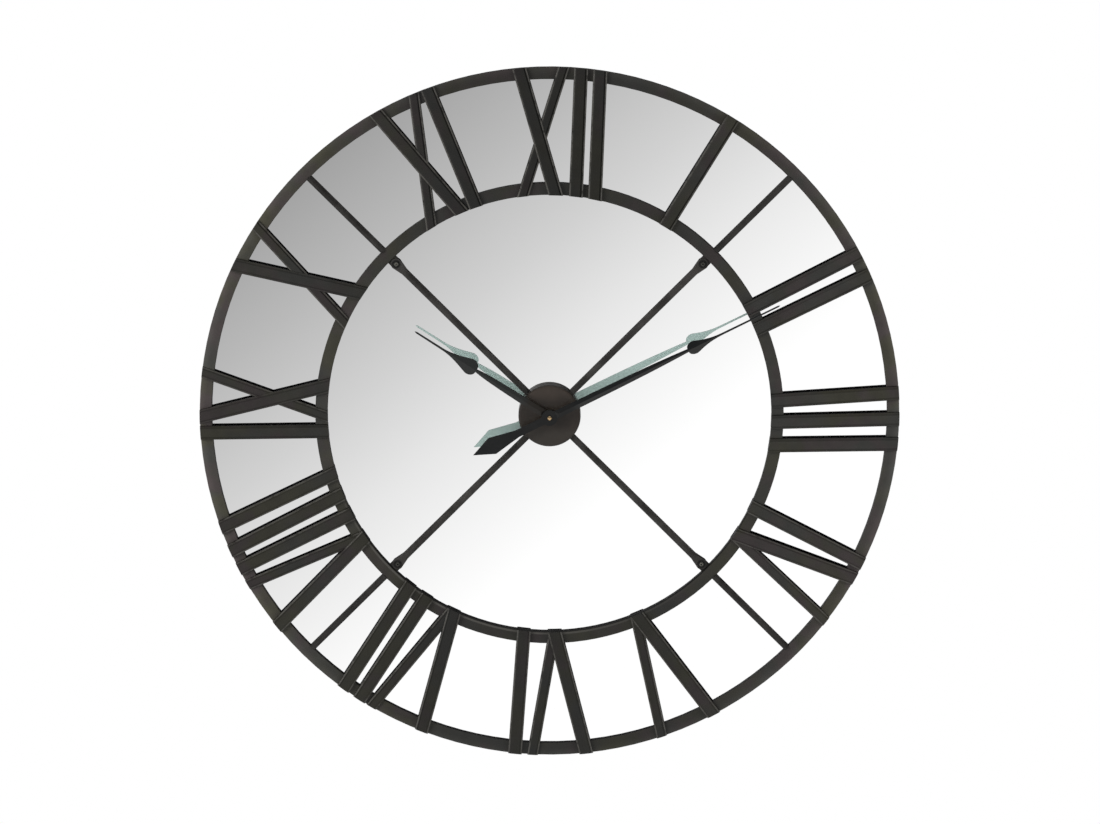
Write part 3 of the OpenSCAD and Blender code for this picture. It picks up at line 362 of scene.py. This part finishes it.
def makeHands(name):
    kind = handKinds[name]
    f = Finish(name)
    fine = f.place.noise(1500, 3, 0.6)
    drift = f.place.noise(40, 3)
    overHub = f.fromAxis().step(*hands["shadeSpan"])
    _, _, up = f.tips()
    # painted reflection: the lower facets are painted paler, less so over the hub
    lower = up.step(*hands["lowerTip"]) * (1 - overHub * 0.7) * kind["lower"]
    front = (drift.step(0.4, 0.7) * hands["dust"] + lower).mix(kind["enamel"], hands["dustAndSheen"])
    # painted shade: the hands turn brown over the hub
    front = (overHub * kind["shade"]).mix(front, hands["shade"])
    bare = f.place.noise(30, 2, 0.5).mix(hands["bareDark"], hands["bare"])
    back = f.front().step(-0.5, -0.8)
    return f.put(colour=back.mix(front, bare), rough=0.34 + drift * 0.1 + back * 0.2, specular=0.3,
                 normal=fine.bump(0.03, 0.0001), coat=hands["coat"] - back * hands["coat"],
                 coatRough=hands["coatRough"])


# Mirror: silver behind clear glass, spotted at the rim, green at its edge, grey lacquer on its back
mirror = {"silver": (0.95, 0.950, 0.949), "edge": (0.10, 0.30, 0.24), "lacquer": (0.20, 0.21, 0.22),
          "spot": (0.22, 0.2, 0.17), "spotSpan": (mirrorEdge - 0.012, mirrorEdge - 0.001), "edgeRough": 0.34,
          "silverRough": 0.008, "haze": 0.012}


def makeMirror():
    f = Finish("mirrorSilver")
    facing = f.front()
    front = facing.step(0.6, 0.9)
    spots = f.place.noise(260, 5, 0.7).step(0.72, 0.84) * f.fromAxis().step(*mirror["spotSpan"])
    silver = (spots * 0.7).mix(mirror["silver"], mirror["spot"])
    tone = facing.step(-0.6, -0.9).mix(mirror["edge"], mirror["lacquer"])
    haze = f.place.noise(14, 4).step(0.55, 0.8) * mirror["haze"]
    rough = mirror["edgeRough"] - front * (mirror["edgeRough"] - mirror["silverRough"]) + haze
    return f.put(colour=front.mix(tone, silver), metal=front, rough=rough)


# Backing board: brown hardboard with short fibres that lie both ways
board = {"dark": (0.13, 0.075, 0.040), "pale": (0.27, 0.17, 0.095), "fleck": (0.40, 0.29, 0.18),
         "fibres": 420}


def makeBoard():
    f = Finish("backingBoard")
    fibres = [f.place.noise(board["fibres"], 5, 0.65, lie) for lie in ((1, 1, 0.12), (0.12, 1, 1))]
    fibre = f.wire.math("MAXIMUM", *fibres)
    patches = f.place.noise(7, 3)
    flecks = f.place.noise(900, 2, 0.5).step(0.62, 0.78)
    tone = (fibre.step(0.4, 0.7) * 0.7 + patches * 0.3).mix(board["dark"], board["pale"])
    tone = (flecks * 0.45).mix(tone, board["fleck"])
    return f.put(colour=tone, rough=0.62 + fibre * 0.2, normal=fibre.bump(0.3, 0.0003))


# Zinc-plated steel and nickelled strip: grey spangle, coarse and fine
zinc = {"dark": (0.42, 0.42, 0.40), "pale": (0.66, 0.67, 0.66)}
zincKinds = {"zincSteel": 260, "contactSpring": 900}


def makeZinc(name):
    f = Finish(name)
    shade = f.place.cells(zincKinds[name], "F1", 1).split()[0]
    smear = f.place.noise(zincKinds[name] * 3, 4)
    return f.put(colour=(shade * 0.6 + smear * 0.4).mix(zinc["dark"], zinc["pale"]), metal=1.0,
                 rough=0.3 + shade * 0.12 + smear * 0.1, normal=smear.bump(0.1, 0.0002))


# Brass: turned, with a little tarnish
brass = {"bright": (0.86, 0.60, 0.32), "dull": (0.52, 0.34, 0.16)}


def makeBrass():
    f = Finish("brass")
    tarnish = f.place.noise(420, 5, 0.6)
    turned = f.fromAxis().rings(9000, 2)
    return f.put(colour=tarnish.step(0.5, 0.8).mix(brass["bright"], brass["dull"]), metal=1.0,
                 rough=0.2 + tarnish * 0.16, normal=turned.bump(0.12, 0.0001))


# Moulded plastics of the movement
plasticKinds = {
    "blackPlastic": {"deep": (0.016, 0.016, 0.018), "pale": (0.032, 0.032, 0.034), "rough": 0.42},
    "whiteAcetal": {"deep": (0.72, 0.70, 0.63), "pale": (0.84, 0.82, 0.77), "rough": 0.34}}


def makePlastic(name):
    kind = plasticKinds[name]
    f = Finish(name)
    spark = f.place.noise(2600, 3, 0.6)
    flow = f.place.noise(120, 3)
    return f.put(colour=(flow * 0.7 + spark * 0.3).mix(kind["deep"], kind["pale"]),
                 rough=kind["rough"] + spark * 0.14, normal=spark.bump(0.25, 0.0001))


# Cell: plain sleeve with a metallic band and a bare end, at places along x
cell = {"body": (0.022, 0.075, 0.040), "film": (0.030, 0.096, 0.052), "band": (0.55, 0.36, 0.12),
        "bare": (0.6, 0.6, 0.58), "bandSpan": (-0.0117, -0.0123), "bareSpan": (-0.0234, -0.0238)}


def makeCell():
    f = Finish("batterySleeve")
    x, _ = f.onDial()
    film = f.place.noise(300, 4)
    band = x.step(*cell["bandSpan"])
    bare = x.step(*cell["bareSpan"])
    tone = bare.mix(band.mix(film.mix(cell["body"], cell["film"]), cell["band"]), cell["bare"])
    return f.put(colour=tone, metal=band * 0.6 + bare * 0.4, rough=0.24 + film * 0.14,
                 normal=film.bump(0.1, 0.0002))


# Circuit board: solder mask with lighter tracks
circuit = {"deep": (0.010, 0.062, 0.024), "mask": (0.016, 0.085, 0.034), "track": (0.045, 0.19, 0.075),
           "tracks": 520}


def makeCircuit():
    f = Finish("circuitGreen")
    tracks = f.place.cells(circuit["tracks"], "DISTANCE_TO_EDGE").step(0.10, 0.06)
    film = f.place.noise(400, 4)
    tone = (tracks * 0.8).mix(film.mix(circuit["deep"], circuit["mask"]), circuit["track"])
    return f.put(colour=tone, rough=0.3 + film * 0.12, normal=tracks.bump(0.3, 0.0001))


# Enamelled copper wire, turn by turn along the bobbin
copper = {"deep": (0.26, 0.085, 0.025), "bright": (0.72, 0.32, 0.13), "halfPitch": 0.00009}


def makeCopper():
    f = Finish("copperWinding")
    x, _ = f.onDial()
    turns = f.wire.math("PINGPONG", x, copper["halfPitch"]) * (1 / copper["halfPitch"])
    film = f.place.noise(900, 4)
    return f.put(colour=(turns * 0.6 + film * 0.4).mix(copper["deep"], copper["bright"]), metal=0.85,
                 rough=0.26 + film * 0.14, normal=turns.bump(0.5, 0.0001))


finishes = {
    **{kind: makeIron(kind) for kind in ironKinds},
    **{kind: makeHammered(kind) for kind in hammeredKinds},
    **{kind: makeHands(kind) for kind in handKinds},
    **{kind: makeZinc(kind) for kind in zincKinds},
    **{kind: makePlastic(kind) for kind in plasticKinds},
    "eyeSteel": makeEyeSteel(), "hubBronze": makeHub(), "mirrorSilver": makeMirror(),
    "backingBoard": makeBoard(), "brass": makeBrass(), "batterySleeve": makeCell(),
    "circuitGreen": makeCircuit(), "copperWinding": makeCopper()}
# a name that ends in an underscore stands for all nodes that start with it; the first finish that fits holds
wearers = {
    "ringIron": ["outer_ring", "inner_ring"], "rimIron": ["rim_band"],
    "antiqueIron": ["numeral_", "thin_leg_"], "eyeSteel": ["spoke_screws"], "spokeIron": ["spoke_"],
    "rodIron": ["ring_rod_"], "hubBronze": ["hub_cup"], "hourEnamel": ["hour_hand"],
    "minuteEnamel": ["minute_hand"], "mirrorSilver": ["mirror_glass"],
    "backingBoard": ["back_board"], "contactSpring": ["contact_plus", "contact_minus"],
    "zincSteel": ["board_screws", "hanger_plate", "hanger_screws", "washer", "minute_arbor", "stator_yoke"],
    "brass": ["bushing", "hex_nut", "cap_nut", "hour_wheel"],
    "blackPlastic": ["movement_case", "movement_cover", "motor_block"],
    "whiteAcetal": ["output_pinion", "center_wheel", "motion_wheel", "set_knob"],
    "batterySleeve": ["battery"], "circuitGreen": ["circuit_board"], "copperWinding": ["motor_coil"]}
for name, node in nodes.items():
    finish = next(kind for kind, starts in wearers.items()
                  if any(name == s or s.endswith("_") and name.startswith(s) for s in starts))
    node.data.materials.clear()
    node.data.materials.append(finishes[finish])
print("finishes:", len(finishes), "on", len(nodes), "nodes")


def newTree(name, sizes):
    tree = bpy.data.node_groups.new(name, "GeometryNodeTree")
    tree.interface.new_socket("Geometry", in_out="INPUT", socket_type="NodeSocketGeometry")
    for key, value in sizes.items():
        kind = "NodeSocketInt" if isinstance(value, int) else "NodeSocketFloat"
        tree.interface.new_socket(key, in_out="INPUT", socket_type=kind).default_value = value
    tree.interface.new_socket("Geometry", in_out="OUTPUT", socket_type="NodeSocketGeometry")
    source = tree.nodes.new("NodeGroupInput")
    given = {s.name: Wire(tree, s) for s in source.outputs if s.name}
    return tree, Wire(tree), given


def closeTree(wire, points, shape, material):
    # one copy of the shape on each point, its z along the point's axis attribute
    axis = wire.add("GeometryNodeInputNamedAttribute", {"data_type": "FLOAT_VECTOR"}, {"Name": "axis"})
    turn = wire.add("FunctionNodeAlignRotationToVector", {"axis": "Z"}, {"Vector": axis})
    copies = wire.add("GeometryNodeInstanceOnPoints", {},
                      {"Points": points, "Instance": shape, "Rotation": turn})
    whole = wire.add("GeometryNodeRealizeInstances", {}, {0: copies})
    done = wire.add("GeometryNodeSetMaterial", {}, {"Geometry": whole, "Material": material})
    wire.tree.links.new(done.socket, wire.tree.nodes.new("NodeGroupOutput").inputs[0])


def screwTree(sizes, material):
    # a turned profile, from the recess over the dome and the rim to the tip, with lobes around the recess
    tree, wire, given = newTree("screwSet", sizes)
    around = 48
    u, v, _ = wire.add("GeometryNodeInputPosition").split()
    angle = (u + 0.5) * (2 * math.pi)
    lobe = 1 + given["lobeDepth"] * wire.math("COSINE", angle * given["lobes"])
    recess, head, shank = given["recessRadius"] * lobe, given["headRadius"], given["shankRadius"]
    crown, tall, tip = given["crownHeight"], given["headHeight"], -given["shankLength"]
    floor = crown - given["recessDepth"]
    profile = [(0.0, floor), (recess * 0.8, floor), (recess, crown - 0.0001), (recess * 1.06, crown),
               (head * 0.62, crown - (crown - tall) * 0.3), (head * 0.84, tall), (head, given["edgeHeight"]),
               (head, given["underHeight"]), (shank, given["seatHeight"]), (shank, tip), (0.0, tip)]
    rows = len(profile)
    row = wire.math("ROUND", (v + 0.5) * (rows - 1))

    def pick(values):
        # socket 0 takes the row, and the values follow it
        return wire.add("GeometryNodeIndexSwitch", {"data_type": "FLOAT", "cases": rows},
                        {0: row, **{i + 1: value for i, value in enumerate(values)}})

    r, h = (pick(column) for column in zip(*profile))
    place = wire.add("ShaderNodeCombineXYZ", {},
                     {0: r * wire.math("COSINE", angle), 1: r * wire.math("SINE", angle), 2: h})
    grid = wire.add("GeometryNodeMeshGrid", {},
                    {"Size X": 1.0, "Size Y": 1.0, "Vertices X": around + 1, "Vertices Y": rows})
    turned = wire.add("GeometryNodeSetPosition", {}, {"Geometry": grid, "Position": place})
    closed = wire.add("GeometryNodeMergeByDistance", {}, {"Geometry": turned, "Distance": 1e-6})
    closeTree(wire, given["Geometry"], closed, material)
    return tree


def beadTree(sizes, material):
    # a squashed ball with a lumpy skin, as a weld leaves around a rod
    tree, wire, given = newTree("weldBeads", sizes)
    ball = wire.add("GeometryNodeMeshUVSphere", {}, {"Segments": 28, "Rings": 14, "Radius": 1.0})
    spot = wire.add("GeometryNodeInputPosition")
    lumps = wire.add("ShaderNodeTexNoise", {"noise_dimensions": "4D"},
                     {"Vector": spot, "W": given["seed"], "Scale": given["lumpScale"], "Detail": 3.0})
    swell = 1 + (lumps - 0.5) * given["lumpHeight"]
    reaches = given["radius"], given["radius"], given["thickness"]
    place = wire.add("ShaderNodeCombineXYZ", {},
                     {i: v * swell * reach for i, (v, reach) in enumerate(zip(spot.split(), reaches))})
    lumpy = wire.add("GeometryNodeSetPosition", {}, {"Geometry": ball, "Position": place})
    closeTree(wire, given["Geometry"], lumpy, material)
    return tree


def growOn(name, tree, sizes, spots, body, sharp=32):
    # spots are (place, axis) pairs; the result is one plain mesh at the origin, sharp past that many degrees
    points = bpy.data.meshes.new(name + "Points")
    points.from_pydata([s[0] for s in spots], [], [])
    axis = points.attributes.new("axis", "FLOAT_VECTOR", "POINT")
    for item, spot in zip(axis.data, spots):
        item.vector = spot[1]
    piece = bpy.data.objects.new(name, points)
    scene.collection.objects.link(piece)
    modifier = piece.modifiers.new("grow", "NODES")
    modifier.node_group = tree
    for item in tree.interface.items_tree:
        if item.in_out == "INPUT" and item.name in sizes:
            modifier[item.identifier] = sizes[item.name]
    grown = bpy.data.meshes.new_from_object(piece.evaluated_get(bpy.context.evaluated_depsgraph_get()))
    piece.modifiers.clear()
    work = bmesh.new()
    work.from_mesh(grown)
    bmesh.ops.remove_doubles(work, verts=work.verts, dist=1e-6)
    bmesh.ops.dissolve_degenerate(work, edges=work.edges, dist=1e-7)
    bmesh.ops.recalc_face_normals(work, faces=work.faces)
    work.to_mesh(grown)
    work.free()
    grown.shade_smooth()
    grown.set_sharp_from_angle(angle=math.radians(sharp))
    piece.data = grown
    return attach(piece, body)


def clockPoint(radius, degrees, depth):
    # degrees run clockwise from twelve, and depth towards the viewer
    a = math.radians(degrees)
    return Vector((radius * math.sin(a), -depth, radius * math.cos(a)))


def middle(name):
    # of a node, from the wall's side to the viewer's
    low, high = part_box(name)
    return (low.y + high.y) / 2


quarters = (45, 135, 225, 315)
towardsViewer, towardsWall = Vector((0, -1, 0)), Vector((0, 1, 0))

# Button screws in the eyes of the spokes, with a dark six-lobed recess
eyeScrew = {"headRadius": 0.0039, "headHeight": 0.0013, "crownHeight": 0.0024, "edgeHeight": 0.0004,
            "underHeight": 0.0, "seatHeight": 0.0, "recessRadius": 0.0011, "recessDepth": 0.0012,
            "lobes": 6.0, "lobeDepth": 0.08, "shankRadius": 0.0019, "shankLength": 0.0057}
eyeHalf = 0.00125  # half the thickness of an eye
eyeSeat = eyeHalf - middle("spoke_1")
eyeSpots = [(clockPoint(eyeSide * math.sqrt(2), a, eyeSeat), towardsViewer) for a in quarters]
eyeScrews = growOn("eyeScrews", screwTree(eyeScrew, finishes["eyeSteel"]), eyeScrew, eyeSpots, "root")
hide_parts("spoke_screws")

# Pan-head screws around the rim
rimScrew = {"headRadius": 0.0029, "headHeight": 0.0009, "crownHeight": 0.0018, "edgeHeight": 0.0004,
            "underHeight": 0.0, "seatHeight": 0.0, "recessRadius": 0.0010, "recessDepth": 0.0010,
            "lobes": 4.0, "lobeDepth": 0.45, "shankRadius": 0.0014, "shankLength": 0.0178}
rimCount = 8
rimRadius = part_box("rim_band")[1].x
rimSpots = []
for i in range(rimCount):
    outwards = clockPoint(1, 360 / rimCount * (i + 0.5), 0)
    rimSpots.append((outwards * rimRadius + Vector((0, middle("back_board"), 0)), outwards))
rimScrews = growOn("rimScrews", screwTree(rimScrew, finishes["zincSteel"]), rimScrew, rimSpots, "root")
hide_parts("board_screws")

# Countersunk screws in the hanger plate, flush with its rear face
hangerScrew = {"headRadius": 0.0029, "headHeight": -0.00002, "crownHeight": 0.0, "edgeHeight": -0.0001,
               "underHeight": -0.00014, "seatHeight": -0.0015, "recessRadius": 0.0011, "recessDepth": 0.0011,
               "lobes": 4.0, "lobeDepth": 0.45, "shankRadius": 0.0014, "shankLength": 0.0064}
hangerHead = 0.003  # head radius of the frame's hanger screws
low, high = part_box("hanger_screws")
hangerSpots = [(Vector((x, 0, z)), towardsWall) for x in (low.x + hangerHead, high.x - hangerHead)
               for z in (low.z + hangerHead, high.z - hangerHead)]
hangerTree = screwTree(hangerScrew, finishes["zincSteel"])
hangerScrews = growOn("hangerScrews", hangerTree, hangerScrew, hangerSpots, "root")
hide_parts("hanger_screws")

# Weld beads where the rods meet the rings
weldBead = {"radius": 0.0042, "thickness": 0.0013, "lumpScale": 3.2, "lumpHeight": 0.34, "seed": 4.0}
beadSpots = [(clockPoint(r, a, -middle("ring_rod_1")), clockPoint(1, a, 0)) for a in quarters
             for r in (innerRingEdge, outerRingEdge - ringWidth)]
weldBeads = growOn("weldBeads", beadTree(weldBead, finishes["rodIron"]), weldBead, beadSpots, "root", 60)
smallPieces = (eyeScrews, rimScrews, hangerScrews, weldBeads)
print("small pieces:", sum(len(piece.data.polygons) for piece in smallPieces), "faces")

# Studio: white for the camera. What reflects sees, in front, a grey that fades to white along the diagonal,
# and around it a bright left side, a right side that is bright further out, a dark ceiling and a pale zenith
view = {"elevation": 10.5, "distance": 7.0, "lens": 174.2, "sensor": 36, "aim": (0.0006, -0.016, 0.0037)}
# spans are parts of a unit direction, and the fade's places are metres along the dial's diagonal
studio = {"levels": {"ambient": 0.34, "middle": 0.80, "left": 0.95, "right": 0.06, "farRight": 0.90,
                     "above": 0.04, "zenith": 0.75, "below": 0.50, "behind": 1.25, "backdrop": 1},
          "spans": {"left": (0.04, 0.12), "right": (0.06, 0.14), "farRight": (0.45, 0.58),
                    "above": (0.06, 0.30), "zenith": (0.70, 0.85), "below": (0.24, 0.36),
                    "fadeCone": (0.115, 0.085)},
          "slant": 0.10, "leastFront": 0.3, "fadeEnds": (-0.8, 0.4),
          "fade": [(-0.72, 0.32), (-0.45, 0.51), (-0.25, 0.67), (-0.07, 0.845), (0.20, 1.06)]}
tilt = math.radians(view["elevation"])
reach, rise = view["distance"] * math.cos(tilt), view["distance"] * math.sin(tilt)
greys = {name: (level,) * 3 for name, level in studio["levels"].items()}
spans = studio["spans"]
world = bpy.data.worlds.new("studio")
scene.world = world
world.use_nodes = True
sky = Wire(world.node_tree)
across, depth, up = sky.add("ShaderNodeTexCoord", {}, {}, "Generated").split()
# place on the dial, to the right and down, whose mirror image shows this direction to the camera
flat, steep = 1 - studio["slant"], 1 + studio["slant"]
ahead = sky.math("MAXIMUM", -depth, studio["leastFront"])
mirrored = (across * flat - up * steep) / ahead * reach - rise * steep
fadeStart, fadeEnd = studio["fadeEnds"]
fadeLength = fadeEnd - fadeStart
stops = [((place - fadeStart) / fadeLength, (level,) * 3) for place, level in studio["fade"]]
fade = sky.add("ShaderNodeValToRGB", {"stops": stops}, {0: (mirrored - fadeStart) / fadeLength})
room = (-across).step(*spans["left"]).mix(greys["middle"], greys["left"])
rightSide = across.step(*spans["farRight"]).mix(greys["right"], greys["farRight"])
room = across.step(*spans["right"]).mix(room, rightSide)
room = (-up).step(*spans["below"]).mix(room, greys["below"])
ceiling = up.step(*spans["zenith"]).mix(greys["above"], greys["zenith"])
room = up.step(*spans["above"]).mix(room, ceiling)
# the fade fills a cone of a few degrees about the middle of what the mirror shows the camera
offAxis = sky.far(across, up + math.sin(tilt))
around = offAxis.step(*spans["fadeCone"]).mix(room, fade)


def lightPath(wire, kind):
    return wire.add("ShaderNodeLightPath", {}, {}, kind)


# what the mirror throws back onto the rear of the hands
around = lightPath(sky, "Diffuse Depth").step(0.4, 0.6).mix(around, greys["behind"])
shiny = sky.math("MAXIMUM", lightPath(sky, "Is Glossy Ray"), lightPath(sky, "Is Transmission Ray"))
seen = lightPath(sky, "Is Camera Ray").mix(shiny.mix(greys["ambient"], around), greys["backdrop"])
sky.tree.links.new(seen.socket, sky.tree.nodes["Background"].inputs["Color"])

# Pale floor, far below the hanging clock
floorSheet = {"half": 1.4, "height": -2.6, "paint": (0.82, 0.82, 0.81)}
floorMesh = bpy.data.meshes.new("floor")
corners = [(x * floorSheet["half"], y * floorSheet["half"], floorSheet["height"])
           for x, y in ((-1, -1), (1, -1), (1, 1), (-1, 1))]
floorMesh.from_pydata(corners, [], [(0, 1, 2, 3)])
floor = bpy.data.objects.new("floor", floorMesh)
scene.collection.objects.link(floor)
paleFloor = bpy.data.materials.new("paleFloor")
paleFloor.use_nodes = True
paint = Wire(paleFloor.node_tree)
diffuse = paint.add("ShaderNodeBsdfDiffuse", {}, {"Color": floorSheet["paint"]})
glow = paint.add("ShaderNodeEmission", {}, {"Color": greys["backdrop"]})
plain = paint.math("MAXIMUM", lightPath(paint, "Is Camera Ray"), lightPath(paint, "Is Transmission Ray"))
plain = paint.math("MAXIMUM", plain, lightPath(paint, "Is Glossy Ray"))
shown = paint.add("ShaderNodeMixShader", {}, {0: plain, 1: diffuse, 2: glow})
paint.tree.links.new(shown.socket, paint.tree.nodes["Material Output"].inputs["Surface"])
floorMesh.materials.append(paleFloor)

# Soft lamps, each with its place, size and watts: a strong one left, a weaker one right, two for the back
lamps = {"left": ((-2.6, -1.9, 0.9), 1.8, 80), "right": ((2.9, -1.3, 0.3), 1.8, 45),
         "rearLeft": ((-2.0, 3.0, 1.6), 1.8, 55), "rearRight": ((2.2, 2.8, 0.8), 1.8, 40)}
for name, (place, size, watts) in lamps.items():
    lamp = bpy.data.lights.new(name, "AREA")
    lamp.shape, lamp.size, lamp.energy = "SQUARE", size, watts
    stand = bpy.data.objects.new(name, lamp)
    stand.location = place
    stand.rotation_euler = (-Vector(place)).to_track_quat("-Z", "Y").to_euler()
    stand.visible_glossy = False  # the studio is what reflects, so the mirror throws no hot spots
    scene.collection.objects.link(stand)

# Camera a little above the dial's middle, far off
camera = bpy.data.cameras.new("camera")
camera.lens, camera.sensor_width = view["lens"], view["sensor"]
eye = bpy.data.objects.new("camera", camera)
aim = Vector(view["aim"])
eye.location = aim + Vector((0, -reach, rise))
eye.rotation_euler = (aim - eye.location).to_track_quat("-Z", "Y").to_euler()
scene.collection.objects.link(eye)
scene.camera = eye
print("studio: lamps", len(lamps))
